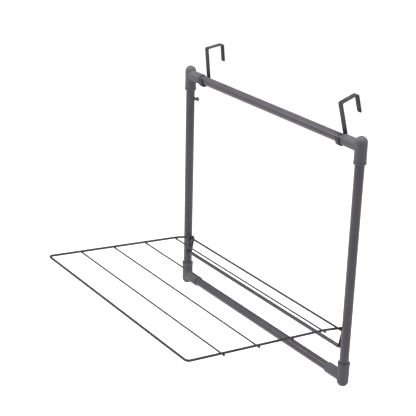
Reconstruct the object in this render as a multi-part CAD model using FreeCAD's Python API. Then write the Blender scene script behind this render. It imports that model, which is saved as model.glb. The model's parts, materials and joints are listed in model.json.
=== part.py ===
"""Over-door fold-down drying rack: a tube frame on two strip hooks, with a wire wing that folds up into it.

Row frame: +Z up, -Y out into the room, +Y towards the door. The origin is the middle of the top rail's axis,
the line about which both hooks turn. Lengths are in millimetres.
"""

import FreeCAD, Part
import math
import os

from FreeCAD import Vector

# Frame of round steel tubes
UPRIGHT_SPACING = 545.0  # between the axes of the two uprights
RAIL_SPACING = 484.0  # between the axes of the two rails
TUBE_RADIUS = 9.5
TUBE_WALL = 1.0
SEAM_SHARE = 0.68  # how far along a rail its two halves meet, from the left upright
SEAM_GAP = 0.4
JOINER_LENGTH = 90.0
JOINER_WALL = 1.0
JOINER_CLEARANCE = 0.05
PAINT_HOLE_SHARE = 0.24  # how far along the top rail its hanging hole for painting is
PAINT_HOLE_RADIUS = 2.0

# Moulded corner connectors
SOCKET_CLEARANCE = 0.05
SLEEVE_RADIUS = 11.8
SLEEVE_MOUTH_RADIUS = 12.0
SLEEVE_LENGTH = 33.0
RIM_RADIUS = 12.4
RIM_HEIGHT = 4.5
DOME_RISE = 8.5
ARM_RADIUS = 11.4
ARM_LENGTH = 44.6
UPRIGHT_STOP = 11.0  # depth at which the upright meets its shoulder, from the rail's axis
RAIL_STOP = 14.0  # depth at which the rail meets its shoulder, from the upright's axis
STOP_GAP = 0.1  # left between a tube's end and its shoulder
CORE_RADIUS = 7.6
CORE_RISE = 7.0
CORNER_BLEND = 2.5
DIMPLE_RADIUS = 1.8
DIMPLE_DEPTH = 2.6

# Countersunk screws at the back of each connector
SCREW_RADIUS = 1.45
SCREW_HEAD_RADIUS = 3.0
SCREW_HEAD_HEIGHT = 1.3
SCREW_HEAD_SINK = 0.5
SCREW_LENGTH = 8.0
SCREW_CLEARANCE = 0.05
SCREW_ON_SLEEVE = 24.0
SCREW_ON_ARM = 30.0
RECESS_WIDTH = 0.7
RECESS_LENGTH = 3.2
RECESS_DEPTH = 0.8

# Strip hooks
HOOK_INSET = 53.2  # from the upright's axis to the middle of the strip
STRIP_WIDTH = 12.0
STRIP_THICKNESS = 2.0
HOOK_RAIL_CLEARANCE = 0.1
HOOK_FRONT_LIP = 8.0
HOOK_HEIGHT = 69.8  # from the rail's axis to the middle of the strip over the door
DOOR_GAP = 38.5
HOOK_TIP_LENGTH = 38.5
HOOK_BEND = 3.0  # of the two bends over the door
HOOK_SEAT_BEND = 5.0  # of the two bends round the rail
HOOK_TIP_ROUND = 3.0
LEFT_HOOK_LEAN = 6.0
RIGHT_HOOK_LEAN = 16.0

# Folding wing of welded wire
PIVOT_HEIGHT = 98.2  # above the bottom rail's axis
WING_RISE = 6.3  # slope of the open wing in degrees
REAR_SET = 5.0  # extra slope of the side wires behind the first cross wire
WIRE_RADIUS = 2.5
CROSS_WIRE_RADIUS = 1.75
PIVOT_ROD_RADIUS = 2.25
WELD_SINK = 0.15  # how far two welded wires sink into each other
SIDE_WIRE_INSET = 15.3  # from the upright's axis
FIRST_CROSS_WIRE = 44.0  # from the pivot
CROSS_WIRE_PITCH = 81.6
CROSS_WIRE_COUNT = 4
CROSS_WIRE_OVERHANG = 3.5
FRONT_BEND = 8.0
SET_BEND = 60.0
LEG_LENGTH = 35.2
FOOT_BEND = 3.2
FOOT_END_INSET = 7.0
LOWER_BAR_RADIUS = 4.0
LOWER_BAR_WALL = 1.0
LOWER_BAR_END_INSET = 16.3

# Pivot bushes and the notches that stop the feet
ROD_END_INSET = 5.5
BUSH_BORE_CLEARANCE = 0.05
BUSH_RADIUS = 3.5
BUSH_FIT_CLEARANCE = 0.05
BUSH_INNER_INSET = 6.6
BUSH_FLANGE_RADIUS = 5.0
BUSH_FLANGE_INSET = 10.7
NOTCH_CLEARANCE = 0.3
NOTCH_INNER_INSET = 6.4
NOTCH_SWEEP = 40.0
FOOT_ROOM_INSET = 12.0

# Studs that the folded wing stops against
STUD_HEIGHT = 430.5  # above the bottom rail's axis
STUD_TURN = 36.5  # from the inward direction towards the door, in degrees
STUD_NECK_RADIUS = 2.2
STUD_HOLE_CLEARANCE = 0.05
STUD_BARB_RADIUS = 3.2
STUD_BARB_START = 5.8
STUD_BARB_END = 7.6
STUD_FLANGE_RADIUS = 3.7
STUD_FLANGE_END = 10.6
STUD_HEAD_RADIUS = 4.6
STUD_HEAD_CENTRE = 16.0

HALF_WIDTH = UPRIGHT_SPACING / 2
BOTTOM = -RAIL_SPACING
PIVOT_Z = BOTTOM + PIVOT_HEIGHT
SOCKET_RADIUS = TUBE_RADIUS + SOCKET_CLEARANCE
LEFT, RIGHT = -1, 1
UP = Vector(0, 0, 1)
TO_DOOR = Vector(0, 1, 0)
ALONG_X = Vector(1, 0, 0)


def cylinder_between(start, end, radius):
    """A solid cylinder from one point to another."""
    run = end - start
    return Part.makeCylinder(radius, run.Length, start, run)


def tube_between(start, end, outer_radius, wall):
    """An open tube from one point to another."""
    return cylinder_between(start, end, outer_radius).cut(cylinder_between(start, end, outer_radius - wall))


def rounded_path(corners, radii):
    """A wire of straight runs with a tangent arc at each inner corner."""
    edges = []
    start = corners[0]
    for before, corner, after, radius in zip(corners, corners[1:], corners[2:], radii):
        back = (before - corner).normalize()
        onward = (after - corner).normalize()
        half_angle = back.getAngle(onward) / 2
        middle = (back + onward).normalize()
        arc_start = corner + back * (radius / math.tan(half_angle))
        arc_end = corner + onward * (radius / math.tan(half_angle))
        arc_middle = corner + middle * (radius / math.sin(half_angle) - radius)
        edges.append(Part.makeLine(start, arc_start))
        edges.append(Part.Arc(arc_start, arc_middle, arc_end).toShape())
        start = arc_end
    edges.append(Part.makeLine(start, corners[-1]))
    return Part.Wire(edges)


def bent_wire(corners, radii, wire_radius):
    """A round wire bent along a path."""
    path = rounded_path(corners, radii)
    direction = (corners[1] - corners[0]).normalize()
    section = Part.Wire(Part.makeCircle(wire_radius, corners[0], direction))
    return path.makePipeShell([section], True, False)


def side_x(side, inset):
    """The X of a point that lies inset from an upright's axis towards the middle."""
    return side * (HALF_WIDTH - inset)


def screw_hole(axis_point):
    """The space of a screw that enters from the door side towards an axis point."""
    start = axis_point + TO_DOOR * (TUBE_RADIUS - 2 * TUBE_WALL)
    end = axis_point + TO_DOOR * (SLEEVE_MOUTH_RADIUS + 1)
    return cylinder_between(start, end, SCREW_RADIUS + SCREW_CLEARANCE)


def sleeve_screw_point(side, rail_z, along):
    """The point on an upright's axis that a connector's sleeve screw aims at."""
    return Vector(side * HALF_WIDTH, 0, rail_z) + along * SCREW_ON_SLEEVE


def arm_screw_point(side, rail_z):
    """The point on a rail's axis that a connector's arm screw aims at."""
    return Vector(side_x(side, SCREW_ON_ARM), 0, rail_z)


def wing_directions():
    """Unit directions of the open wing: rear stretch, front stretch and leg."""
    rear_angle = math.radians(WING_RISE + REAR_SET)
    front_angle = math.radians(WING_RISE)
    rear = Vector(0, -math.cos(rear_angle), math.sin(rear_angle))
    front = Vector(0, -math.cos(front_angle), math.sin(front_angle))
    leg = Vector(0, -math.sin(rear_angle), -math.cos(rear_angle))
    return rear, front, leg


def wing_corners(side):
    """The corners of one side wire, from its foot to the front: foot, bend over the pivot, set and front."""
    rear, front, leg = wing_directions()
    nest = WIRE_RADIUS + PIVOT_ROD_RADIUS - WELD_SINK
    pivot = Vector(side_x(side, SIDE_WIRE_INSET), 0, PIVOT_Z)
    bend = pivot - rear * nest - leg * nest
    foot = bend + leg * (nest + LEG_LENGTH)
    set_point = bend + rear * (nest + FIRST_CROSS_WIRE)
    front_corner = set_point + front * (CROSS_WIRE_COUNT * CROSS_WIRE_PITCH)
    return foot, bend, set_point, front_corner


def wing_frame():
    """One wire: a foot, leg and side wire at each end and the front wire between them."""
    left = list(wing_corners(LEFT))
    right = list(wing_corners(RIGHT))
    left_end = Vector(side_x(LEFT, FOOT_END_INSET), left[0].y, left[0].z)
    right_end = Vector(side_x(RIGHT, FOOT_END_INSET), right[0].y, right[0].z)
    nest = WIRE_RADIUS + PIVOT_ROD_RADIUS - WELD_SINK
    radii = [FOOT_BEND, nest, SET_BEND, FRONT_BEND]
    corners = [left_end] + left + right[::-1] + [right_end]
    return bent_wire(corners, radii + radii[::-1], WIRE_RADIUS)


def cross_wire(number):
    """A straight wire welded under the two side wires, counted from the door."""
    front = wing_directions()[1]
    below = ALONG_X.cross(front)
    under = below * (WIRE_RADIUS + CROSS_WIRE_RADIUS - WELD_SINK)
    centre = wing_corners(RIGHT)[2] + front * (number * CROSS_WIRE_PITCH) + under
    end_x = side_x(RIGHT, SIDE_WIRE_INSET) + CROSS_WIRE_OVERHANG
    left_end = Vector(-end_x, centre.y, centre.z)
    return cylinder_between(left_end, Vector(end_x, centre.y, centre.z), CROSS_WIRE_RADIUS)


def pivot_rod():
    """The rod that the wing turns on, with its ends in the bushes."""
    end_x = side_x(RIGHT, ROD_END_INSET)
    return cylinder_between(Vector(-end_x, 0, PIVOT_Z), Vector(end_x, 0, PIVOT_Z), PIVOT_ROD_RADIUS)


def lower_bar(wire):
    """The tube between the two legs, coped round the wire that it is welded to."""
    foot = wing_corners(RIGHT)[0]
    end_x = side_x(RIGHT, LOWER_BAR_END_INSET)
    left_end = Vector(-end_x, foot.y, foot.z)
    right_end = Vector(end_x, foot.y, foot.z)
    return tube_between(left_end, right_end, LOWER_BAR_RADIUS, LOWER_BAR_WALL).cut(wire)


def pivot_bush(side):
    """A flanged bush in the inner wall of an upright, with its flange shaped to the tube."""
    inner = Vector(side_x(side, BUSH_INNER_INSET), 0, PIVOT_Z)
    face = Vector(side_x(side, BUSH_FLANGE_INSET), 0, PIVOT_Z)
    seat = Vector(side_x(side, TUBE_RADIUS - TUBE_WALL), 0, PIVOT_Z)
    flange = cylinder_between(seat, face, BUSH_FLANGE_RADIUS).cut(upright_core(side))
    barrel = cylinder_between(inner, face, BUSH_RADIUS)
    bore = cylinder_between(inner, face, PIVOT_ROD_RADIUS + BUSH_BORE_CLEARANCE)
    return barrel.fuse(flange).cut(bore).removeSplitter()


def notch(side):
    """The space that a foot sweeps through the inner front wall of an upright as the wing folds."""
    foot = wing_corners(side)[0]
    outward = Vector(0, foot.y, foot.z - PIVOT_Z).normalize() * (WIRE_RADIUS + NOTCH_CLEARANCE)
    start = Vector(side_x(side, NOTCH_INNER_INSET), foot.y, foot.z)
    end = Vector(side_x(side, FOOT_ROOM_INSET), foot.y, foot.z)
    seat = cylinder_between(start, end, WIRE_RADIUS + NOTCH_CLEARANCE)
    outline = [start - outward, start + outward, end + outward, end - outward, start - outward]
    section = Part.Face(Part.makePolygon(outline))
    sweep = section.revolve(Vector(0, 0, PIVOT_Z), ALONG_X * -1, NOTCH_SWEEP)
    return seat.fuse(sweep)


def stud_line(side):
    """The start of a stop stud on the upright's axis, and its direction, inward and turned to the door."""
    turn = math.radians(STUD_TURN)
    start = Vector(side * HALF_WIDTH, 0, BOTTOM + STUD_HEIGHT)
    return start, Vector(-side * math.cos(turn), math.sin(turn), 0)


def wing_stop(side):
    """A moulded stud: barb inside the upright, neck, flange shaped to the tube, and a round head."""
    start, direction = stud_line(side)
    head_centre = start + direction * STUD_HEAD_CENTRE
    barb_start = start + direction * STUD_BARB_START
    barb_end = start + direction * STUD_BARB_END
    flange_end = start + direction * STUD_FLANGE_END
    barb = cylinder_between(barb_start, barb_end, STUD_BARB_RADIUS)
    neck = cylinder_between(barb_start, head_centre, STUD_NECK_RADIUS)
    flange = cylinder_between(barb_end, flange_end, STUD_FLANGE_RADIUS)
    head = Part.makeSphere(STUD_HEAD_RADIUS, head_centre)
    outside = flange.cut(upright_core(side))
    return neck.fuse([barb, outside, head]).removeSplitter()


def upright_core(side):
    """The full round of an upright, used to shape what sits on it."""
    bottom = Vector(side * HALF_WIDTH, 0, BOTTOM)
    return cylinder_between(bottom, bottom + UP * RAIL_SPACING, TUBE_RADIUS)


def upright(side):
    """A side tube, with its pivot hole, foot notch, stud hole and screw holes."""
    axis = Vector(side * HALF_WIDTH, 0, 0)
    bottom_end = axis + UP * (BOTTOM + UPRIGHT_STOP + STOP_GAP)
    top_end = axis - UP * (UPRIGHT_STOP + STOP_GAP)
    shape = tube_between(bottom_end, top_end, TUBE_RADIUS, TUBE_WALL)
    pivot_start = Vector(side_x(side, BUSH_INNER_INSET), 0, PIVOT_Z)
    pivot_end = Vector(side_x(side, BUSH_FLANGE_INSET), 0, PIVOT_Z)
    stud_start, stud_direction = stud_line(side)
    stud_end = stud_start + stud_direction * STUD_HEAD_CENTRE
    cuts = [
        cylinder_between(pivot_start, pivot_end, BUSH_RADIUS + BUSH_FIT_CLEARANCE),
        notch(side),
        cylinder_between(stud_start, stud_end, STUD_NECK_RADIUS + STUD_HOLE_CLEARANCE),
        screw_hole(sleeve_screw_point(side, 0, UP * -1)),
        screw_hole(sleeve_screw_point(side, BOTTOM, UP)),
    ]
    return shape.cut(cuts)


def rail_half(side, rail_z):
    """One half of a rail, from a connector's shoulder to the seam."""
    seam_x = UPRIGHT_SPACING * SEAM_SHARE - HALF_WIDTH + side * SEAM_GAP / 2
    end = Vector(side_x(side, RAIL_STOP + STOP_GAP), 0, rail_z)
    shape = tube_between(Vector(seam_x, 0, rail_z), end, TUBE_RADIUS, TUBE_WALL)
    return shape.cut(screw_hole(arm_screw_point(side, rail_z)))


def top_rail_left():
    """The left half of the top rail, with the hole that it hangs from while it is painted."""
    start = Vector(UPRIGHT_SPACING * PAINT_HOLE_SHARE - HALF_WIDTH, 0, 0)
    hole = cylinder_between(start, start + Vector(0, -0.3, 1) * TUBE_RADIUS, PAINT_HOLE_RADIUS)
    return rail_half(LEFT, 0).cut(hole)


def rail_joiner(rail_z):
    """The sleeve inside a rail that joins its two halves."""
    seam_x = UPRIGHT_SPACING * SEAM_SHARE - HALF_WIDTH
    start = Vector(seam_x - JOINER_LENGTH / 2, 0, rail_z)
    end = Vector(seam_x + JOINER_LENGTH / 2, 0, rail_z)
    return tube_between(start, end, TUBE_RADIUS - TUBE_WALL - JOINER_CLEARANCE, JOINER_WALL)


def corner(side, rail_z, along):
    """A connector: a domed sleeve for the upright and an arm for the rail, hollow between the sockets."""
    centre = Vector(side * HALF_WIDTH, 0, rail_z)
    inward = Vector(-side, 0, 0)
    mouth = centre + along * SLEEVE_LENGTH
    dome_centre = centre - along * DOME_RISE
    height = DOME_RISE + SLEEVE_LENGTH
    sleeve = Part.makeCone(SLEEVE_RADIUS, SLEEVE_MOUTH_RADIUS, height, dome_centre, along)
    dome = Part.makeSphere(SLEEVE_RADIUS, dome_centre)
    arm = cylinder_between(centre, centre + inward * ARM_LENGTH, ARM_RADIUS)
    body = sleeve.fuse([dome, arm]).removeSplitter()
    body = body.makeFillet(CORNER_BLEND, junction_edges(body))
    rim = cylinder_between(mouth - along * RIM_HEIGHT, mouth, RIM_RADIUS)
    body = body.fuse(rim).removeSplitter()
    dimple_bottom = dome_centre - along * (SLEEVE_RADIUS - DIMPLE_DEPTH)
    dimple = cylinder_between(dimple_bottom, dome_centre - along * (SLEEVE_RADIUS + 1), DIMPLE_RADIUS)
    cuts = [
        cylinder_between(centre + along * UPRIGHT_STOP, mouth, SOCKET_RADIUS),
        cylinder_between(centre + inward * RAIL_STOP, centre + inward * ARM_LENGTH, SOCKET_RADIUS),
        cylinder_between(centre - along * CORE_RISE, centre + along * UPRIGHT_STOP, CORE_RADIUS),
        cylinder_between(centre, centre + inward * RAIL_STOP, CORE_RADIUS),
        dimple,
        countersink(sleeve_screw_point(side, rail_z, along), SLEEVE_RADIUS),
        countersink(arm_screw_point(side, rail_z), ARM_RADIUS),
    ]
    return body.cut(cuts)


def junction_edges(body):
    """The curved edges where a connector's arm meets its sleeve and dome."""
    return [edge for edge in body.Edges if not edge.Degenerated and isinstance(edge.Curve, Part.BSplineCurve)]


def screw_solid(axis_point, surface_radius, clearance):
    """A countersunk screw's outer shape, with its head flush in a wall that lies at a radius from an axis."""
    head_face = axis_point + TO_DOOR * (surface_radius - SCREW_HEAD_SINK)
    tip = head_face - TO_DOOR * SCREW_LENGTH
    shank = cylinder_between(tip, head_face, SCREW_RADIUS + clearance)
    head = Part.makeCone(
        SCREW_HEAD_RADIUS + clearance,
        SCREW_RADIUS + clearance,
        SCREW_HEAD_HEIGHT,
        head_face,
        TO_DOOR * -1,
    )
    return shank.fuse(head).removeSplitter()


def countersink(axis_point, surface_radius):
    """The space of a screw in a connector's wall, open to the outside."""
    head_face = axis_point + TO_DOOR * (surface_radius - SCREW_HEAD_SINK)
    outside = head_face + TO_DOOR * SCREW_HEAD_HEIGHT
    mouth = cylinder_between(head_face, outside, SCREW_HEAD_RADIUS + SCREW_CLEARANCE)
    return screw_solid(axis_point, surface_radius, SCREW_CLEARANCE).fuse(mouth)


def screw(axis_point, surface_radius):
    """A countersunk screw with a cross recess."""
    head_face = axis_point + TO_DOOR * (surface_radius - SCREW_HEAD_SINK)
    slots = []
    for length, width in ((RECESS_LENGTH, RECESS_WIDTH), (RECESS_WIDTH, RECESS_LENGTH)):
        low = head_face - Vector(length / 2, RECESS_DEPTH, width / 2)
        slots.append(Part.makeBox(length, RECESS_DEPTH, width, low))
    return screw_solid(axis_point, surface_radius, 0).cut(slots)


def corner_screws():
    """The eight screws that hold the tubes in the connectors."""
    screws = []
    for side in (LEFT, RIGHT):
        for rail_z, along in ((0, UP * -1), (BOTTOM, UP)):
            screws.append(screw(sleeve_screw_point(side, rail_z, along), SLEEVE_RADIUS))
            screws.append(screw(arm_screw_point(side, rail_z), ARM_RADIUS))
    return Part.makeCompound(screws)


def hook(side, lean):
    """A strip hook: a lip in front of the rail, a seat under it, an arm up the door and over its top edge."""
    half_gap = TUBE_RADIUS + HOOK_RAIL_CLEARANCE + STRIP_THICKNESS / 2
    back = half_gap + DOOR_GAP + STRIP_THICKNESS
    profile = [
        (-half_gap, HOOK_FRONT_LIP),
        (-half_gap, -half_gap),
        (half_gap, -half_gap),
        (half_gap, HOOK_HEIGHT),
        (back, HOOK_HEIGHT),
        (back, HOOK_HEIGHT - HOOK_TIP_LENGTH),
    ]
    first_x = side_x(side, HOOK_INSET) - STRIP_WIDTH / 2
    corners = [Vector(first_x, y, z) for y, z in profile]
    path = rounded_path(corners, [HOOK_SEAT_BEND] * 2 + [HOOK_BEND] * 2)
    through = TO_DOOR * (STRIP_THICKNESS / 2)
    across = ALONG_X * STRIP_WIDTH
    section = Part.makePolygon(
        [
            corners[0] - through,
            corners[0] + through,
            corners[0] + through + across,
            corners[0] - through + across,
            corners[0] - through,
        ]
    )
    strip = path.makePipeShell([section], True, False)
    strip = strip.makeFillet(HOOK_TIP_ROUND, end_edges(strip, corners[0], corners[-1]))
    strip.rotate(Vector(0, 0, 0), ALONG_X, lean)
    return strip


def end_edges(strip, first, last):
    """The four short edges at the two ends of a strip."""
    found = []
    for edge in strip.Edges:
        at_end = abs(edge.CenterOfMass.z - first.z) < 0.01 and abs(edge.CenterOfMass.y - first.y) < 0.01
        at_tip = abs(edge.CenterOfMass.z - last.z) < 0.01 and abs(edge.CenterOfMass.y - last.y) < 0.01
        if (at_end or at_tip) and abs(edge.Length - STRIP_THICKNESS) < 0.01:
            found.append(edge)
    return found


def model():
    """Every node of the rack, by name."""
    wire = wing_frame()
    nodes = {
        "left_upright": upright(LEFT),
        "right_upright": upright(RIGHT),
        "top_rail_left": top_rail_left(),
        "top_rail_right": rail_half(RIGHT, 0),
        "top_rail_joiner": rail_joiner(0),
        "bottom_rail_left": rail_half(LEFT, BOTTOM),
        "bottom_rail_right": rail_half(RIGHT, BOTTOM),
        "bottom_rail_joiner": rail_joiner(BOTTOM),
        "top_left_corner": corner(LEFT, 0, UP * -1),
        "top_right_corner": corner(RIGHT, 0, UP * -1),
        "bottom_left_corner": corner(LEFT, BOTTOM, UP),
        "bottom_right_corner": corner(RIGHT, BOTTOM, UP),
        "corner_screws": corner_screws(),
        "left_door_hook": hook(LEFT, LEFT_HOOK_LEAN),
        "right_door_hook": hook(RIGHT, RIGHT_HOOK_LEAN),
        "left_wing_stop": wing_stop(LEFT),
        "right_wing_stop": wing_stop(RIGHT),
        "left_pivot_bush": pivot_bush(LEFT),
        "right_pivot_bush": pivot_bush(RIGHT),
        "wing_frame": wire,
        "pivot_rod": pivot_rod(),
        "lower_bar": lower_bar(wire),
    }
    for number in range(CROSS_WIRE_COUNT):
        nodes[f"cross_wire_{number + 1}"] = cross_wire(number)
    return nodes


os.makedirs("parts", exist_ok=True)
for name, shape in model().items():
    shape.exportStep(f"parts/{name}.step")
    print(f"{name:20s} solids {len(shape.Solids)}  volume {shape.Volume:10.1f}  valid {shape.isValid()}")
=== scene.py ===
"""Finishes, welds and small details of the over-door drying rack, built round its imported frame.

Places are in metres in the frame's own axes: +Z up, -Y out into the room, +Y towards the door, and the origin
in the middle of the top rail's axis. Sizes that a maker reads off a drawing are held in millimetres.
"""

import json
import logging
import math
from dataclasses import dataclass
from enum import Enum

import bpy
import numpy as np
from mathutils import Matrix, Vector


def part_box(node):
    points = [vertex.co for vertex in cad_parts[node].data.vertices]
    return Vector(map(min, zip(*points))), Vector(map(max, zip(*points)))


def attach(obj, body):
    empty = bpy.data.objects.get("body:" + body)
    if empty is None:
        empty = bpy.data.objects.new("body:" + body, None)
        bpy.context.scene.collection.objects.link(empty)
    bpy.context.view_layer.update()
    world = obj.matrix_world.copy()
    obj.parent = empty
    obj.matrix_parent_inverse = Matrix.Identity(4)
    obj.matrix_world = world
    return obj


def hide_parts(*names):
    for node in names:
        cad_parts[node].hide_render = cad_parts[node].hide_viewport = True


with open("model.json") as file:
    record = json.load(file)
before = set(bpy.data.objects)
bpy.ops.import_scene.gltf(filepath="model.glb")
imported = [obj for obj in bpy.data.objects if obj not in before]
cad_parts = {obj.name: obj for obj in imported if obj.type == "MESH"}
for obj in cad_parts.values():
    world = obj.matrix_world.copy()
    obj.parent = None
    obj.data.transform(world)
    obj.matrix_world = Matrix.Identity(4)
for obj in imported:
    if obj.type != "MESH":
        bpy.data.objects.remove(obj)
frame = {"nodes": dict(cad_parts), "record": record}

LOG = logging.getLogger("drying_rack")
MM = 0.001
ALONG_X = np.array([1.0, 0.0, 0.0])
ALONG_Y = np.array([0.0, 1.0, 0.0])
OFF_AXIS = np.array([1.0, 1.1, 0.9])  # never in line with a run or a bend of the rack
SMOOTH_UNDER = math.radians(40)

# A mix node repeats its socket names for each kind of data, so its colour sockets go by number.
MIX_SHARE, MIX_LOW, MIX_HIGH, MIX_COLOUR = 0, 6, 7, 2

NOISE_BAND = (0.3, 0.7)  # where most of a noise's values lie
UPWARD_BAND = (0.55, 1.0)  # from a slope to a face that looks straight up
PATCH_BAND = (0.5, 0.72)  # the peaks of a noise only
WHOLE_BAND = (0.0, 1.0)

Colour = tuple[float, float, float]
Band = tuple[float, float]
Socket = bpy.types.NodeSocket


class Side(Enum):
    """The two sides of the rack, seen from the room."""

    LEFT = -1
    RIGHT = 1


class Level(Enum):
    """The two rails, and which way a connector's sleeve points from each."""

    TOP = -1
    BOTTOM = 1


class Grain(Enum):
    """How fine a surface's grain is, in cells to the metre."""

    CLOUD = 14.0
    RUB = 160.0
    PEEL = 750.0
    SPARK = 2400.0
    FLOW = 42.0
    FIBRE = 90.0


class Slot(Enum):
    """The record's material slots."""

    FRAME = "frame_paint"
    CONNECTOR = "connector_plastic"
    WIRE = "wire_paint"
    HOOK = "hook_paint"
    SCREW = "screw_steel"
    BUSH = "bush_plastic"


# ---------------------------------------------------------------- surfaces


def unit(vectors: np.ndarray) -> np.ndarray:
    """Each vector divided by its length."""
    return vectors / np.linalg.norm(vectors, axis=-1, keepdims=True)


def grid_faces(rows: int, columns: int) -> np.ndarray:
    """Quads of a grid that closes on itself across its columns.

    Args:
        rows: number of rings.
        columns: number of points on each ring.

    Returns:
        One row of four point numbers to a quad.
    """
    ring, place = np.meshgrid(np.arange(rows - 1), np.arange(columns), indexing="ij")
    onward = (place + 1) % columns
    corners = (ring * columns + place, ring * columns + onward)
    above = ((ring + 1) * columns + onward, (ring + 1) * columns + place)
    return np.stack(corners + above, axis=-1).reshape(-1, 4)


def fan_faces(ring_start: int, columns: int, pole: int) -> np.ndarray:
    """Triangles from each edge of a ring to one pole point.

    Args:
        ring_start: number of the ring's first point.
        columns: number of points on the ring.
        pole: number of the pole point.

    Returns:
        One row of three point numbers to a triangle.
    """
    place = np.arange(columns)
    onward = (place + 1) % columns
    return np.stack((ring_start + onward, ring_start + place, np.full(columns, pole)), axis=-1)


def shell(name: str, grid: np.ndarray) -> bpy.types.Object:
    """Makes a closed shell from a grid of rings, with a pole in the middle of its first and last ring.

    Six times the volume is the sum, over the faces, of the triple product of their corners. Where it comes
    out negative the faces point inwards, so their order is turned round.

    Args:
        name: name of the new object.
        grid: points as (rings, points on a ring, 3).

    Returns:
        The new object, with its place in its mesh.
    """
    rows, columns, _ = grid.shape
    poles = np.stack((grid[0].mean(axis=0), grid[-1].mean(axis=0)))
    points = np.concatenate((grid.reshape(-1, 3), poles))
    quads = grid_faces(rows, columns)
    first = fan_faces(0, columns, rows * columns)
    last = fan_faces((rows - 1) * columns, columns, rows * columns + 1)[:, ::-1]
    fans = np.concatenate((first, last))
    triangles = np.concatenate((quads[:, [0, 1, 2]], quads[:, [0, 2, 3]], fans))
    a, b, c = (points[triangles[:, corner]] for corner in range(3))
    if np.einsum("ij,ij->", a, np.cross(b, c)) < 0:
        quads, fans = quads[:, ::-1], fans[:, ::-1]
    mesh = bpy.data.meshes.new(name)
    mesh.from_pydata(points.tolist(), [], quads.tolist() + fans.tolist())
    mesh.update()
    mesh.shade_smooth()
    mesh.set_sharp_from_angle(angle=SMOOTH_UNDER)
    made = bpy.data.objects.new(name, mesh)
    bpy.context.scene.collection.objects.link(made)
    return made


@dataclass(frozen=True)
class Route:
    """A line through space: its points and the unit direction at each of them."""

    points: np.ndarray
    directions: np.ndarray

    @classmethod
    def straight(cls, start: np.ndarray, end: np.ndarray, stations: int) -> "Route":
        """A straight route with evenly spaced points.

        Args:
            start: first point.
            end: last point.
            stations: number of points.

        Returns:
            The route.
        """
        share = np.linspace(0.0, 1.0, stations)[:, None]
        points = start + (end - start) * share
        return cls(points, np.broadcast_to(unit(end - start), points.shape).copy())

    @classmethod
    def bent(cls, corners: np.ndarray, radii: np.ndarray, stations: int) -> "Route":
        """Straight runs joined by tangent arcs, as a bender makes them.

        At turn t of an arc of radius R that starts at S with direction d and has its centre towards n, the
        point is S + R (d sin t + n (1 - cos t)) and the direction is d cos t + n sin t.

        Args:
            corners: where the runs would meet, ends included, as (n, 3).
            radii: radius of the arc at each inner corner.
            stations: points on each arc.

        Returns:
            The route from the first corner to the last.
        """
        runs = unit(np.diff(corners, axis=0))
        into, out = runs[:-1], runs[1:]
        turn = np.arccos(np.clip(np.sum(into * out, axis=1), -1.0, 1.0))
        arc_start = corners[1:-1] - into * (radii * np.tan(turn / 2))[:, None]
        inward = unit(out - into * np.cos(turn)[:, None])
        t = (turn[:, None] * np.linspace(0.0, 1.0, stations))[:, :, None]
        reach = np.sin(t) * into[:, None] + (1 - np.cos(t)) * inward[:, None]
        points = arc_start[:, None] + radii[:, None, None] * reach
        directions = np.cos(t) * into[:, None] + np.sin(t) * inward[:, None]
        return cls(
            np.concatenate((corners[:1], points.reshape(-1, 3), corners[-1:])),
            np.concatenate((runs[:1], directions.reshape(-1, 3), runs[-1:])),
        )

    def with_soft_ends(self, ease: float, rings: int = 5) -> tuple["Route", np.ndarray]:
        """Adds stations that round over both ends.

        At angle a of the rounding of radius e, the station is e (1 - cos a) in from the end and the section
        shrinks by e (1 - sin a).

        Args:
            ease: radius of the rounding.
            rings: stations on each rounding.

        Returns:
            The longer route, and how much each station's section shrinks.
        """
        angle = np.linspace(0.0, np.pi / 2, rings)
        in_by = (ease * (1 - np.cos(angle)))[:, None]
        shrink = ease * (1 - np.sin(angle))
        head = self.points[0] + self.directions[0] * in_by
        tail = (self.points[-1] - self.directions[-1] * in_by)[::-1]
        points = np.concatenate((head, self.points[1:-1], tail))
        starts = np.repeat(self.directions[:1], rings, axis=0)
        stops = np.repeat(self.directions[-1:], rings, axis=0)
        directions = np.concatenate((starts, self.directions[1:-1], stops))
        middle = np.zeros(len(self.points) - 2)
        return Route(points, directions), np.concatenate((shrink, middle, shrink[::-1]))


def round_section(route: Route, radii: np.ndarray, sides: int) -> np.ndarray:
    """A round section carried along a route.

    Each ring is centre + r (u cos p + v sin p), where u and v are square to the route. They come from a
    direction that no run or bend of the rack is ever in line with, so the rings don't flip.

    Args:
        route: the line that the centres follow.
        radii: radius at each station.
        sides: points on each ring.

    Returns:
        Points as (stations, sides, 3).
    """
    aside = unit(np.cross(unit(OFF_AXIS), route.directions))
    across = np.cross(route.directions, aside)
    around = (np.linspace(0.0, 2 * np.pi, sides, endpoint=False))[None, :, None]
    ring = aside[:, None] * np.cos(around) + across[:, None] * np.sin(around)
    return route.points[:, None] + radii[:, None, None] * ring


def rod(name: str, route: Route, radius: float, ease: float, sides: int = 28) -> bpy.types.Object:
    """A round wire or bar along a route, with its cut ends rounded over."""
    soft, shrink = route.with_soft_ends(ease)
    return shell(name, round_section(soft, radius - shrink, sides))


def box_middle(node: str) -> np.ndarray:
    """The middle of a frame node's box."""
    low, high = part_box(node)
    return (np.array(low) + np.array(high)) / 2


# ---------------------------------------------------------------- finishes


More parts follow.
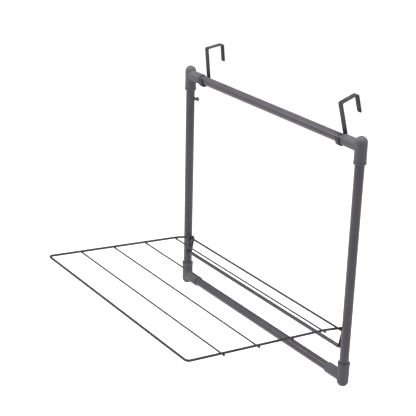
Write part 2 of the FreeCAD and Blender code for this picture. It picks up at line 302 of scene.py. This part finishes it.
class Recipe:
    """A material while it is being mixed: its nodes, its shader and the piece's own coordinates."""

    def __init__(self, name: str, sheen: float = 0.14) -> None:
        """Starts an empty recipe with a shader of the given specular level wired to the output.

        Args:
            name: name of the material.
            sheen: the shader's specular level.
        """
        self.material = bpy.data.materials.new(name)
        self.material.use_nodes = True
        self.tree = self.material.node_tree
        self.tree.nodes.clear()
        self.shader = self.tree.nodes.new("ShaderNodeBsdfPrincipled")
        output = self.tree.nodes.new("ShaderNodeOutputMaterial")
        self.tree.links.new(self.shader.outputs["BSDF"], output.inputs["Surface"])
        self.shader.inputs["Specular IOR Level"].default_value = sheen
        self.place = self.tree.nodes.new("ShaderNodeTexCoord")

    def link(self, source: Socket, target: Socket) -> None:
        """Joins two sockets."""
        self.tree.links.new(source, target)

    def grain(self, scale: float, detail: float = 3.0, stretch: Colour = (1.0, 1.0, 1.0)) -> Socket:
        """Cloudy noise on the piece's own coordinates.

        Args:
            scale: cells to the metre.
            detail: how many finer layers are added.
            stretch: how much the pattern is squeezed along X, Y and Z.

        Returns:
            The noise's value, from 0 to 1.
        """
        mapping = self.tree.nodes.new("ShaderNodeMapping")
        mapping.inputs["Scale"].default_value = stretch
        self.link(self.place.outputs["Object"], mapping.inputs["Vector"])
        noise = self.tree.nodes.new("ShaderNodeTexNoise")
        noise.inputs["Scale"].default_value = scale
        noise.inputs["Detail"].default_value = detail
        self.link(mapping.outputs["Vector"], noise.inputs["Vector"])
        return noise.outputs["Fac"]

    def remap(self, value: Socket, old: Band, new: Band) -> Socket:
        """Stretches a value from one range to another and holds it there.

        Args:
            value: what is stretched.
            old: the range that it comes in.
            new: the range that it goes out in.

        Returns:
            The stretched value.
        """
        node = self.tree.nodes.new("ShaderNodeMapRange")
        node.inputs["From Min"].default_value, node.inputs["From Max"].default_value = old
        node.inputs["To Min"].default_value, node.inputs["To Max"].default_value = new
        self.link(value, node.inputs["Value"])
        return node.outputs["Result"]

    def sum(self, first: Socket, second: Socket, operation: str = "ADD") -> Socket:
        """Combines two values by a named sum.

        Args:
            first: first value.
            second: second value.
            operation: name of the sum.

        Returns:
            The combined value.
        """
        node = self.tree.nodes.new("ShaderNodeMath")
        node.operation = operation
        self.link(first, node.inputs[0])
        self.link(second, node.inputs[1])
        return node.outputs["Value"]

    def blend(self, share: Socket, low: Colour, high: Colour) -> Socket:
        """Mixes two colours by a share.

        Args:
            share: share of the second colour.
            low: colour at 0.
            high: colour at 1.

        Returns:
            The mixed colour.
        """
        node = self.tree.nodes.new("ShaderNodeMix")
        node.data_type = "RGBA"
        node.inputs[MIX_LOW].default_value = (*low, 1.0)
        node.inputs[MIX_HIGH].default_value = (*high, 1.0)
        self.link(share, node.inputs[MIX_SHARE])
        return node.outputs[MIX_COLOUR]

    def overlay(self, share: Socket, base: Socket, over: Colour) -> Socket:
        """Lays a colour over another mix by a share.

        Args:
            share: share of the colour on top.
            base: the mix underneath.
            over: the colour on top.

        Returns:
            The mixed colour.
        """
        node = self.tree.nodes.new("ShaderNodeMix")
        node.data_type = "RGBA"
        node.inputs[MIX_HIGH].default_value = (*over, 1.0)
        self.link(base, node.inputs[MIX_LOW])
        self.link(share, node.inputs[MIX_SHARE])
        return node.outputs[MIX_COLOUR]

    def upward(self) -> Socket:
        """How far the piece's own surface faces up, from -1 to 1.

        Returns:
            The Z part of the surface's own direction.
        """
        split = self.tree.nodes.new("ShaderNodeSeparateXYZ")
        self.link(self.place.outputs["Normal"], split.inputs["Vector"])
        return split.outputs["Z"]

    def relief(self, height: Socket, depth: float, strength: float = 1.0) -> None:
        """Presses a height pattern into the surface.

        Args:
            height: pattern from 0 to 1.
            depth: how deep the pattern is, in metres.
            strength: share of the relief that is used.
        """
        bump = self.tree.nodes.new("ShaderNodeBump")
        bump.inputs["Distance"].default_value = depth
        bump.inputs["Strength"].default_value = strength
        self.link(height, bump.inputs["Height"])
        self.link(bump.outputs["Normal"], self.shader.inputs["Normal"])


@dataclass(frozen=True)
class PowderCoat:
    """Baked powder paint on steel: orange peel, slightly cloudy colour, and wear where laundry rubs."""

    name: str
    dark: Colour
    light: Colour
    worn: Colour
    wear: float
    roughness: float
    sheen: float = 0.14
    peel_depth: float = 0.00004
    grain: Grain = Grain.PEEL

    def material(self) -> bpy.types.Material:
        """Mixes the paint.

        Returns:
            The finished material.
        """
        recipe = Recipe(self.name, self.sheen)
        cloud = recipe.grain(Grain.CLOUD.value, detail=5.0)
        rub = recipe.grain(Grain.RUB.value, detail=6.0)
        peel = recipe.grain(self.grain.value, detail=2.0)
        colour = recipe.blend(recipe.remap(cloud, NOISE_BAND, WHOLE_BAND), self.dark, self.light)
        top = recipe.remap(recipe.upward(), UPWARD_BAND, WHOLE_BAND)
        patches = recipe.remap(rub, PATCH_BAND, (0.0, self.wear))
        worn_share = recipe.sum(top, patches, "MULTIPLY")
        worn = recipe.overlay(worn_share, colour, self.worn)
        recipe.link(worn, recipe.shader.inputs["Base Color"])
        spread = recipe.remap(rub, NOISE_BAND, (self.roughness - 0.05, self.roughness + 0.06))
        recipe.link(spread, recipe.shader.inputs["Roughness"])
        recipe.relief(peel, self.peel_depth)
        return recipe.material


@dataclass(frozen=True)
class MouldedPlastic:
    """Moulded plastic with a spark-eroded grain and faint flow marks."""

    name: str
    dark: Colour
    light: Colour
    roughness: float
    spark_depth: float = 0.00005

    def material(self) -> bpy.types.Material:
        """Mixes the plastic.

        Returns:
            The finished material.
        """
        recipe = Recipe(self.name)
        flow = recipe.grain(Grain.FLOW.value, detail=4.0, stretch=(1.0, 1.0, 0.4))
        spark = recipe.grain(Grain.SPARK.value, detail=2.0)
        colour = recipe.blend(recipe.remap(flow, NOISE_BAND, WHOLE_BAND), self.dark, self.light)
        recipe.link(colour, recipe.shader.inputs["Base Color"])
        spread = recipe.remap(spark, NOISE_BAND, (self.roughness - 0.06, self.roughness + 0.06))
        recipe.link(spread, recipe.shader.inputs["Roughness"])
        recipe.relief(spark, self.spark_depth)
        return recipe.material


@dataclass(frozen=True)
class BlackenedSteel:
    """Blackened screw steel, with turning marks that catch the light."""

    name: str
    dark: Colour
    light: Colour
    roughness: float

    def material(self) -> bpy.types.Material:
        """Mixes the steel.

        Returns:
            The finished material.
        """
        recipe = Recipe(self.name)
        recipe.shader.inputs["Metallic"].default_value = 1.0
        marks = recipe.grain(Grain.PEEL.value, detail=6.0, stretch=(1.0, 0.1, 1.0))
        colour = recipe.blend(recipe.remap(marks, (0.35, 0.65), WHOLE_BAND), self.dark, self.light)
        recipe.link(colour, recipe.shader.inputs["Base Color"])
        spread = recipe.remap(marks, NOISE_BAND, (self.roughness - 0.08, self.roughness + 0.1))
        recipe.link(spread, recipe.shader.inputs["Roughness"])
        recipe.relief(marks, 0.00002)
        return recipe.material


@dataclass(frozen=True)
class StudioPaper:
    """The pale paper that the studio's floor is swept with."""

    name: str = "studio_paper"
    shade: float = 0.9
    glow: float = 0.72

    def material(self) -> bpy.types.Material:
        """Mixes the paper.

        Returns:
            The finished material.
        """
        recipe = Recipe(self.name)
        fibre = recipe.grain(Grain.FIBRE.value, detail=2.0)
        pale = (self.shade, self.shade, self.shade)
        shade = self.shade * 0.985
        colour = recipe.blend(fibre, (shade, shade, shade), pale)
        recipe.link(colour, recipe.shader.inputs["Base Color"])
        recipe.shader.inputs["Roughness"].default_value = 0.9
        recipe.shader.inputs["Emission Color"].default_value = (1.0, 1.0, 1.0, 1.0)
        recipe.shader.inputs["Emission Strength"].default_value = self.glow
        return recipe.material


FINISHES = {
    Slot.FRAME: PowderCoat(
        "frame_paint_coat", (0.056, 0.051, 0.06), (0.067, 0.062, 0.071), (0.115, 0.11, 0.121), 0.35, 0.3, 0.2
    ),
    Slot.WIRE: PowderCoat(
        "wire_paint_coat", (0.027, 0.026, 0.029), (0.036, 0.035, 0.039), (0.06, 0.059, 0.063), 0.5, 0.46
    ),
    Slot.HOOK: PowderCoat(
        "hook_paint_coat", (0.025, 0.025, 0.028), (0.034, 0.033, 0.037), (0.09, 0.088, 0.093), 0.6, 0.44
    ),
    Slot.CONNECTOR: MouldedPlastic("connector_moulding", (0.073, 0.073, 0.08), (0.089, 0.089, 0.096), 0.6),
    Slot.BUSH: MouldedPlastic("bush_moulding", (0.016, 0.016, 0.018), (0.026, 0.026, 0.028), 0.48),
    Slot.SCREW: BlackenedSteel("screw_black", (0.11, 0.11, 0.12), (0.26, 0.26, 0.27), 0.38),
}


# ---------------------------------------------------------------- sub-assemblies


@dataclass
class Piece:
    """A new piece: its body, its slot, the frame nodes that it stands for, and its coat if not the slot's."""

    made: bpy.types.Object
    body: str
    slot: Slot
    stands_for: tuple[str, ...] = ()
    coat: Slot | None = None

    def dress(self, coats: dict[Slot, bpy.types.Material]) -> None:
        """Gives the piece its finish and settles it on its body.

        Args:
            coats: the finished material of each slot.
        """
        self.made.data.materials.append(coats[self.coat or self.slot])
        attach(self.made, self.body)
        if self.stands_for:
            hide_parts(*self.stands_for)
        LOG.info("%s: %d faces on %s", self.made.name, len(self.made.data.polygons), self.body)


@dataclass
class Wing:
    """The folding wing of welded wire, with its sizes in millimetres."""

    wire_radius: float = 2.5
    cross_radius: float = 1.75
    rod_radius: float = 2.25
    bar_radius: float = 4.0
    weld_sink: float = 0.15
    rise: float = 6.3
    rear_set: float = 5.0
    first_cross: float = 44.0
    pitch: float = 81.6
    count: int = 4
    side_inset: float = 15.3
    foot_inset: float = 7.0
    leg_length: float = 35.2
    foot_bend: float = 3.2
    set_bend: float = 60.0
    front_bend: float = 8.0
    upright_x: float = 272.5
    cut_end: float = 0.5
    cross_cut_end: float = 0.4
    bar_cut_end: float = 0.7
    swell: float = 0.16
    swell_reach: float = 1.6
    nugget: tuple[float, float] = (4.6, 1.15)
    pivot_bead: tuple[float, float] = (4.4, 0.85)
    bar_bead: tuple[float, float] = (6.0, 0.8)
    bead_fullness: float = 0.6
    bead_tip: float = 0.02
    ripple: float = 0.07
    ripple_pitch: float = 0.9

    def nest(self) -> float:
        """How far the bend's centreline lies from the pivot's axis."""
        return self.wire_radius + self.rod_radius - self.weld_sink

    def directions(self) -> tuple[np.ndarray, np.ndarray, np.ndarray]:
        """The unit directions of the rear stretch, the front stretch and the leg.

        Returns:
            The three directions, in that order.
        """
        rear_angle = math.radians(self.rise + self.rear_set)
        front_angle = math.radians(self.rise)
        rear = np.array([0.0, -math.cos(rear_angle), math.sin(rear_angle)])
        front = np.array([0.0, -math.cos(front_angle), math.sin(front_angle)])
        leg = np.array([0.0, -math.sin(rear_angle), -math.cos(rear_angle)])
        return rear, front, leg

    def side_corners(self, side: Side) -> np.ndarray:
        """Corners of one side, from the foot's end to the front, in millimetres.

        Args:
            side: which side.

        Returns:
            Five corners, as (5, 3).
        """
        rear, front, leg = self.directions()
        side_x = side.value * (self.upright_x - self.side_inset)
        pivot = np.array([side_x, 0.0, box_middle("pivot_rod")[2] / MM])
        bend = pivot - (rear + leg) * self.nest()
        foot = bend + leg * (self.nest() + self.leg_length)
        set_point = bend + rear * (self.nest() + self.first_cross)
        front_corner = set_point + front * (self.count * self.pitch)
        foot_end = foot.copy()
        foot_end[0] = side.value * (self.upright_x - self.foot_inset)
        return np.stack((foot_end, foot, bend, set_point, front_corner))

    def frame_wire(self) -> Piece:
        """The one wire that makes the feet, legs, sides and front.

        Returns:
            The wire, standing for the wing_frame node.
        """
        corners = np.concatenate((self.side_corners(Side.LEFT), self.side_corners(Side.RIGHT)[::-1]))
        half = [self.foot_bend, self.nest(), self.set_bend, self.front_bend]
        route = Route.bent(corners * MM, np.array(half + half[::-1]) * MM, stations=12)
        made = rod("wing_frame_wire", route, self.wire_radius * MM, self.cut_end * MM)
        return Piece(made, "wing", Slot.WIRE, ("wing_frame",))

    def cross_wire(self, number: int) -> Piece:
        """A cross wire, swollen a little where each weld squeezed the metal.

        The radius is r + s times the sum, over both welds, of exp(-(distance / w) squared).

        Args:
            number: its number, counted from the door.

        Returns:
            The wire, standing for its node.
        """
        node = f"cross_wire_{number}"
        low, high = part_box(node)
        middle = box_middle(node)
        start, end = middle.copy(), middle.copy()
        start[0], end[0] = low[0], high[0]
        soft, shrink = Route.straight(start, end, 160).with_soft_ends(self.cross_cut_end * MM)
        weld_x = (self.upright_x - self.side_inset) * MM
        away = (np.abs(soft.points[:, 0]) - weld_x) / (self.swell_reach * MM)
        radii = self.cross_radius * MM - shrink + self.swell * MM * np.exp(-(away**2))
        made = shell(f"{node}_wire", round_section(soft, radii, 20))
        return Piece(made, "wing", Slot.WIRE, (node,))

    def straight_bar(self, node: str, name: str, radius: float, ease: float, coat: Slot) -> Piece:
        """A straight bar that stands for a frame node of the same length.

        Args:
            node: the frame node.
            name: name of the bar.
            radius: its radius, in millimetres.
            ease: rounding of its cut ends, in millimetres.
            coat: whose finish it wears.

        Returns:
            The bar, riding on the wing.
        """
        low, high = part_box(node)
        start, end = box_middle(node), box_middle(node)
        start[0], end[0] = low[0], high[0]
        made = rod(name, Route.straight(start, end, 40), radius * MM, ease * MM, sides=32)
        return Piece(made, "wing", Slot.WIRE, (node,), coat)

    def weld(self, name: str, middle: np.ndarray, along: np.ndarray, length: float, radius: float) -> Piece:
        """A short weld bead, widest in the middle and rippled as the torch left it.

        The radius at share s of its length is r sin(pi s) to the power 0.6, times 1 + 0.07 cos(ripples s).

        Args:
            name: name of the bead.
            middle: its middle, in metres.
            along: its unit direction.
            length: its length, in millimetres.
            radius: its largest radius, in millimetres.

        Returns:
            The bead, riding on the wing.
        """
        half = along * (length * MM / 2)
        route = Route.straight(middle - half, middle + half, 33)
        share = np.linspace(0.0, 1.0, 33)
        swell = np.maximum(np.sin(np.pi * share), 0.0) ** self.bead_fullness
        ripple = 1 + self.ripple * np.cos(2 * np.pi * length * share / self.ripple_pitch)
        radii = np.maximum(radius * MM * swell * ripple, self.bead_tip * MM)
        return Piece(shell(name, round_section(route, radii, 16)), "wing", Slot.WIRE)

    def cross_welds(self, side: Side) -> list[Piece]:
        """The flattened nugget at each crossing, where the cross wire sits under the side wire.

        Args:
            side: which side.

        Returns:
            One nugget for each cross wire.
        """
        pieces = []
        _, front, _ = self.directions()
        lift = np.cross(front, ALONG_X) * (self.cross_radius * MM)
        for number in range(1, self.count + 1):
            middle = box_middle(f"cross_wire_{number}") + lift
            middle[0] = side.value * (self.upright_x - self.side_inset) * MM
            name = f"cross_weld_{side.name.lower()}_{number}"
            pieces.append(self.weld(name, middle, front, *self.nugget))
        return pieces

    def pivot_welds(self, side: Side) -> list[Piece]:
        """Two beads that follow the bend round the pivot rod, one on each face of the side wire.

        Args:
            side: which side.

        Returns:
            The inner and the outer bead.
        """
        rear, _, leg = self.directions()
        pieces = []
        centre = box_middle("pivot_rod")
        outward = -unit(rear + leg)
        for face, shift in (("inner", -self.wire_radius), ("outer", self.wire_radius)):
            middle = centre + outward * (self.rod_radius * MM * 0.95)
            middle[0] = side.value * (self.upright_x - self.side_inset + shift * 0.62) * MM
            name = f"pivot_weld_{side.name.lower()}_{face}"
            pieces.append(self.weld(name, middle, unit(rear - leg), *self.pivot_bead))
        return pieces

    def bar_welds(self, side: Side) -> list[Piece]:
        """Two beads that hold the lower bar, one on each side of the leg.

        Args:
            side: which side.

        Returns:
            The bead that faces the room and the one that faces the door.
        """
        _, _, leg = self.directions()
        across = np.cross(leg, ALONG_X)
        centre = box_middle("lower_bar")
        centre[0] = side.value * (self.upright_x - self.side_inset - self.wire_radius * 0.5) * MM
        pieces = []
        for face, turn in (("room", 1), ("door", -1)):
            middle = centre + across * (turn * self.wire_radius * 0.92 * MM)
            name = f"bar_weld_{side.name.lower()}_{face}"
            pieces.append(self.weld(name, middle, leg, *self.bar_bead))
        return pieces

    def build(self) -> list[Piece]:
        """Every piece of the wing.

        Returns:
            The pieces in the order that they are dressed.
        """
        pieces = [self.frame_wire()]
        pieces += [self.cross_wire(number) for number in range(1, self.count + 1)]
        pivot_size, lower_size = (self.rod_radius, self.cut_end), (self.bar_radius, self.bar_cut_end)
        pieces.append(self.straight_bar("pivot_rod", "pivot_rod_bar", *pivot_size, Slot.WIRE))
        pieces.append(self.straight_bar("lower_bar", "lower_bar_tube", *lower_size, Slot.FRAME))
        for side in Side:
            pieces += self.cross_welds(side) + self.pivot_welds(side) + self.bar_welds(side)
        return pieces


@dataclass
class DoorHook:
    """A strip hook with rolled edges, with its sizes in millimetres and its lean in degrees."""

    side: Side
    lean: float
    width: float = 12.0
    thickness: float = 2.0
    rail_gap: float = 10.6
    lip: float = 8.0
    height: float = 69.8
    door_gap: float = 38.5
    tip: float = 38.5
    seat_bend: float = 5.0
    door_bend: float = 3.0
    tip_round: float = 3.0
    edge_round: float = 0.6

    def name(self) -> str:
        """The hook's body, such as left_hook."""
        return f"{self.side.name.lower()}_hook"

    def route(self) -> Route:
        """The strip's middle line: lip, seat under the rail, arm, stretch over the door, and tip.

        Returns:
            The leaned line, in metres.
        """
        back = self.rail_gap + self.door_gap + self.thickness
        outline = np.array([
            [-self.rail_gap, self.lip],
            [-self.rail_gap, -self.rail_gap],
            [self.rail_gap, -self.rail_gap],
            [self.rail_gap, self.height],
            [back, self.height],
            [back, self.height - self.tip],
        ])
        lean = math.radians(self.lean)
        turn = np.array([[math.cos(lean), -math.sin(lean)], [math.sin(lean), math.cos(lean)]])
        middle_x = box_middle(f"{self.side.name.lower()}_door_hook")[0] / MM
        leaned = outline @ turn.T
        corners = np.column_stack((np.full(len(leaned), middle_x), leaned)) * MM
        radii = np.array([self.seat_bend] * 2 + [self.door_bend] * 2) * MM
        return Route.bent(corners, radii, stations=14)

    def ends_and_widths(self, route: Route, rings: int = 12) -> tuple[Route, np.ndarray]:
        """Adds stations over the rounded ends, and gives half the strip's width at each.

        At angle a of a corner of radius R, the station is R (1 - cos a) in from the end, and half the width
        is w / 2 - R + R sin a.

        Args:
            route: the strip's middle line.
            rings: stations on each rounded end.

        Returns:
            The longer route, and half the width at each of its stations, in millimetres.
        """
        angle = np.linspace(0.0, np.pi / 2, rings)
        in_by = (self.tip_round * (1 - np.cos(angle)) * MM)[:, None]
        half = self.width / 2 - self.tip_round + self.tip_round * np.sin(angle)
        head = route.points[0] + route.directions[0] * in_by
        tail = (route.points[-1] - route.directions[-1] * in_by)[::-1]
        points = np.concatenate((head, route.points[1:-1], tail))
        starts = np.repeat(route.directions[:1], rings, axis=0)
        stops = np.repeat(route.directions[-1:], rings, axis=0)
        directions = np.concatenate((starts, route.directions[1:-1], stops))
        middle = np.full(len(route.points) - 2, self.width / 2)
        return Route(points, directions), np.concatenate((half, middle, half[::-1]))

    def strip(self) -> Piece:
        """The hook: a rectangle with rounded corners carried along its line.

        Corner k of the section has its centre at (+-(w / 2 - e), +-(t / 2 - e)), and its points are that
        centre plus e (cos p, sin p) over a quarter turn.

        Returns:
            The strip, standing for its node.
        """
        route, half_width = self.ends_and_widths(self.route())
        quarter = np.linspace(0.0, np.pi / 2, 5)
        angles = (np.arange(4)[:, None] * np.pi / 2 + quarter).ravel()
        signs_x = np.repeat([1.0, -1.0, -1.0, 1.0], len(quarter))
        signs_y = np.repeat([1.0, 1.0, -1.0, -1.0], len(quarter))
        wide = signs_x * (half_width[:, None] - self.edge_round) + self.edge_round * np.cos(angles)
        thick = signs_y * (self.thickness / 2 - self.edge_round) + self.edge_round * np.sin(angles)
        through = np.cross(ALONG_X, route.directions)
        across = wide[:, :, None] * ALONG_X * MM
        grid = route.points[:, None] + across + thick[None, :, None] * through[:, None] * MM
        made = shell(f"{self.name()}_strip", grid)
        return Piece(made, self.name(), Slot.HOOK, (f"{self.side.name.lower()}_door_hook",))

    def build(self) -> list[Piece]:
        """Every piece of the hook."""
        return [self.strip()]


@dataclass
class PartingLine:
    """The fine raised line where a connector's mould closed, with sizes in millimetres."""

    side: Side
    level: Level
    upright_x: float = 272.5
    dome_rise: float = 8.5
    sleeve_radius: float = 11.8
    sleeve_end: float = 28.1
    arm_radius: float = 11.4
    arm_end: float = 44.2
    blend: float = 2.5
    dimple_radius: float = 1.8
    dimple_margin: float = 0.5
    outer_draft: float = 0.12
    inner_swell: float = 0.1
    inner_draft: float = 0.06
    half_width: float = 0.3
    height: float = 0.14
    root: float = 0.25

    def node(self) -> str:
        """The connector that the line runs on."""
        return f"{self.level.name.lower()}_{self.side.name.lower()}_corner"

    def dome(self, start: float, end: float, stations: int = 20) -> tuple[np.ndarray, np.ndarray]:
        """A stretch of the dome's outline: its centre plus R (cos p, sin p), from one angle to another.

        Args:
            start: first angle, in radians.
            end: last angle.
            stations: number of points.

        Returns:
            Places along X and along Z, in millimetres.
        """
        angle = np.linspace(start, end, stations)
        return self.sleeve_radius * np.cos(angle), self.dome_rise + self.sleeve_radius * np.sin(angle)

    def dimple_angle(self) -> float:
        """Half the angle that the dimple and the bare ring round it take up on the dome."""
        return math.asin((self.dimple_radius + self.dimple_margin) / self.sleeve_radius)

    def over_arm(self, stations: int = 14) -> Route:
        """From the arm's mouth along its top and up the dome, to just short of the dimple.

        The blend's centre is at height a + b, at distance R + b from the dome's centre, so it lies
        sqrt((R + b) squared - (a + b - d) squared) towards the arm.

        Args:
            stations: points on the blend.

        Returns:
            The route, in metres.
        """
        reach = self.sleeve_radius + self.blend
        drop = self.arm_radius + self.blend - self.dome_rise
        centre_x = math.sqrt(reach**2 - drop**2)
        meet = math.atan2(drop, centre_x)
        angle = np.linspace(-np.pi / 2, meet - np.pi, stations)
        blend_x = centre_x + self.blend * np.cos(angle)
        blend_z = self.arm_radius + self.blend + self.blend * np.sin(angle)
        dome_x, dome_z = self.dome(meet, np.pi / 2 - self.dimple_angle())
        x = np.concatenate(([self.arm_end], blend_x, dome_x[1:]))
        z = np.concatenate(([self.arm_radius], blend_z, dome_z[1:]))
        return self.placed(x, z)

    def down_outside(self) -> Route:
        """From just past the dimple down the dome and the outside of the sleeve.

        Returns:
            The route, in metres.
        """
        dome_x, dome_z = self.dome(np.pi / 2 + self.dimple_angle(), np.pi)
        x = np.concatenate((dome_x, [-self.sleeve_radius - self.outer_draft]))
        z = np.concatenate((dome_z, [-self.sleeve_end]))
        return self.placed(x, z)

    def under_arm(self, stations: int = 10) -> Route:
        """From the arm's mouth along its underside and down the inside of the sleeve.

        Args:
            stations: points on the blend.

        Returns:
            The route, in metres.
        """
        wall = self.sleeve_radius + self.inner_swell
        angle = np.linspace(np.pi / 2, np.pi, stations)
        blend_x = wall + self.blend + self.blend * np.cos(angle)
        blend_z = -self.arm_radius - self.blend + self.blend * np.sin(angle)
        x = np.concatenate(([self.arm_end], blend_x, [wall + self.inner_draft]))
        z = np.concatenate(([-self.arm_radius], blend_z, [-self.sleeve_end]))
        return self.placed(x, z)

    def placed(self, x: np.ndarray, z: np.ndarray) -> Route:
        """Turns a line in the connector's plane into a route in the frame, with directions from its slope.

        Args:
            x: places towards the arm, in millimetres.
            z: places away from the sleeve, in millimetres.

        Returns:
            The route, in metres.
        """
        rail_z = box_middle(f"{self.level.name.lower()}_rail_left")[2]
        points = np.zeros((len(x), 3))
        points[:, 0] = self.side.value * (self.upright_x - x) * MM
        points[:, 2] = rail_z - self.level.value * z * MM
        return Route(points, unit(np.gradient(points, axis=0)))

    def ridge(self, name: str, route: Route) -> Piece:
        """A low half-round ridge, half sunk in the plastic, carried along a route.

        Its section is (w cos p, h sin p) above the surface and (w cos p, root sin p) below it.

        Args:
            name: name of the ridge.
            route: where it runs.

        Returns:
            The ridge, riding on the frame.
        """
        around = np.linspace(0.0, 2 * np.pi, 12, endpoint=False)
        wide = self.half_width * np.cos(around)
        tall = np.where(np.sin(around) > 0, self.height, self.root) * np.sin(around)
        out = np.cross(route.directions, ALONG_Y)
        away = route.points - np.array([self.side.value * self.upright_x * MM, 0.0, route.points[0, 2]])
        turned = np.sign(np.sum(out * away, axis=1).sum())
        grid = (
            route.points[:, None]
            + wide[None, :, None] * ALONG_Y * MM
            + tall[None, :, None] * out[:, None] * turned * MM
        )
        return Piece(shell(name, grid), "frame", Slot.CONNECTOR)

    def build(self) -> list[Piece]:
        """The ridges of one connector."""
        return [
            self.ridge(f"{self.node()}_upper_line", self.over_arm()),
            self.ridge(f"{self.node()}_outer_line", self.down_outside()),
            self.ridge(f"{self.node()}_lower_line", self.under_arm()),
        ]


# ---------------------------------------------------------------- studio


@dataclass(frozen=True)
class Softbox:
    """A large soft lamp: where it stands, what it points at, its side in metres and its power in watts."""

    name: str
    stand: Colour
    aim: Colour
    size: float
    power: float

    def light(self) -> bpy.types.Object:
        """Hangs the lamp.

        Returns:
            The lamp.
        """
        data = bpy.data.lights.new(self.name, "AREA")
        data.shape = "SQUARE"
        data.size = self.size
        data.energy = self.power
        lamp = bpy.data.objects.new(self.name, data)
        lamp.location = self.stand
        lamp.rotation_euler = (Vector(self.aim) - Vector(self.stand)).to_track_quat("-Z", "Y").to_euler()
        bpy.context.scene.collection.objects.link(lamp)
        return lamp


@dataclass(frozen=True)
class Viewpoint:
    """Where the camera stands: place in millimetres, angles in degrees, and its lens in millimetres."""

    place: Colour = (1660.84, -1344.35, 679.21)
    azimuth: float = 54.1078
    elevation: float = 22.8752
    roll: float = 1.3546
    lens: float = 96.67
    sensor: float = 36.0

    def camera(self) -> bpy.types.Object:
        """Sets up the camera and makes it the scene's.

        Returns:
            The camera.
        """
        data = bpy.data.cameras.new("rack_camera")
        data.lens = self.lens
        data.sensor_width = self.sensor
        camera = bpy.data.objects.new("rack_camera", data)
        bpy.context.scene.collection.objects.link(camera)
        azimuth, elevation, roll = (math.radians(a) for a in (self.azimuth, self.elevation, self.roll))
        back = np.array([
            math.sin(azimuth) * math.cos(elevation),
            -math.cos(azimuth) * math.cos(elevation),
            math.sin(elevation),
        ])
        level = unit(np.cross(-back, np.array([0.0, 0.0, 1.0])))
        rise = np.cross(level, -back)
        right = level * math.cos(roll) + rise * math.sin(roll)
        up = -level * math.sin(roll) + rise * math.cos(roll)
        turn = Matrix(np.column_stack((right, up, back)).tolist()).to_4x4()
        camera.matrix_world = Matrix.Translation(Vector(self.place) * MM) @ turn
        bpy.context.scene.camera = camera
        return camera


@dataclass
class Studio:
    """The pale floor, the soft light and the camera."""

    floor_z: float = -1.5
    floor_radius: float = 34.0
    sweep_start: float = 14.0
    sweep_rise: float = 7.0
    floor_hub: float = 0.02
    ambient: float = 0.3

    def floor(self) -> bpy.types.Object:
        """A round floor that sweeps up at its far edge.

        The height at distance d is floor + rise s s (3 - 2 s), where s is the share of the way from the
        sweep's start to the edge.

        Returns:
            The floor.
        """
        reach, turn = np.meshgrid(
            np.linspace(self.floor_hub, self.floor_radius, 60),
            np.linspace(0.0, 2 * np.pi, 72, endpoint=False),
            indexing="ij",
        )
        share = np.clip((reach - self.sweep_start) / (self.floor_radius - self.sweep_start), 0.0, 1.0)
        height = self.floor_z + self.sweep_rise * share**2 * (3 - 2 * share)
        grid = np.stack((reach * np.cos(turn), reach * np.sin(turn), height), axis=-1)
        rows, columns, _ = grid.shape
        points = np.concatenate((grid.reshape(-1, 3), [[0.0, 0.0, self.floor_z]]))
        faces = grid_faces(rows, columns).tolist() + fan_faces(0, columns, rows * columns).tolist()
        mesh = bpy.data.meshes.new("studio_floor")
        mesh.from_pydata(points.tolist(), [], faces)
        mesh.update()
        mesh.shade_smooth()
        mesh.materials.append(StudioPaper().material())
        made = bpy.data.objects.new("studio_floor", mesh)
        bpy.context.scene.collection.objects.link(made)
        return made

    def air(self) -> None:
        """Fills the studio with even, nearly white light."""
        world = bpy.data.worlds.new("studio_air")
        world.use_nodes = True
        background = world.node_tree.nodes["Background"]
        background.inputs["Color"].default_value = (1.0, 1.0, 1.0, 1.0)
        background.inputs["Strength"].default_value = self.ambient
        bpy.context.scene.world = world

    def build(self) -> None:
        """Sets up the whole studio."""
        self.floor()
        self.air()
        Softbox("key_softbox", stand=(-1.7, -2.4, 2.1), aim=(0.0, -0.1, -0.2), size=1.6, power=110.0).light()
        Softbox("side_softbox", stand=(2.8, 1.2, 1.1), aim=(0.0, -0.1, -0.2), size=1.2, power=18.0).light()
        Softbox("top_softbox", stand=(0.2, 0.3, 2.4), aim=(0.0, -0.1, -0.3), size=1.2, power=115.0).light()
        Viewpoint().camera()
        bpy.context.scene.view_settings.view_transform = "Standard"


# ---------------------------------------------------------------- the rack


def clear_start_scene() -> None:
    """Removes what a new scene starts with, so that only the frame is left."""
    for name in ("Cube", "Light", "Camera"):
        leftover = bpy.data.objects.get(name)
        if leftover is not None:
            bpy.data.objects.remove(leftover)


def coat_nodes(coats: dict[Slot, bpy.types.Material]) -> None:
    """Puts each frame node's finish in its material slots, as the record names it."""
    for row in frame["record"]["subparts"]:
        node = frame["nodes"][row["node"]]
        for place in node.material_slots:
            place.material = coats[Slot(row["material_slot"])]
        LOG.info("%s: coated with %s", row["node"], row["material_slot"])


def main() -> None:
    """Coats the frame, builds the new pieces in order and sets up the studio."""
    logging.basicConfig(level=logging.INFO, format="%(message)s")
    clear_start_scene()
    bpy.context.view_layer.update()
    coats = {slot: finish.material() for slot, finish in FINISHES.items()}
    coat_nodes(coats)
    parts = [Wing(), DoorHook(Side.LEFT, 6.0), DoorHook(Side.RIGHT, 16.0)]
    parts += [PartingLine(side, level) for side in Side for level in Level]
    for part in parts:
        for piece in part.build():
            piece.dress(coats)
    Studio().build()


if __name__ == "__main__":
    main()
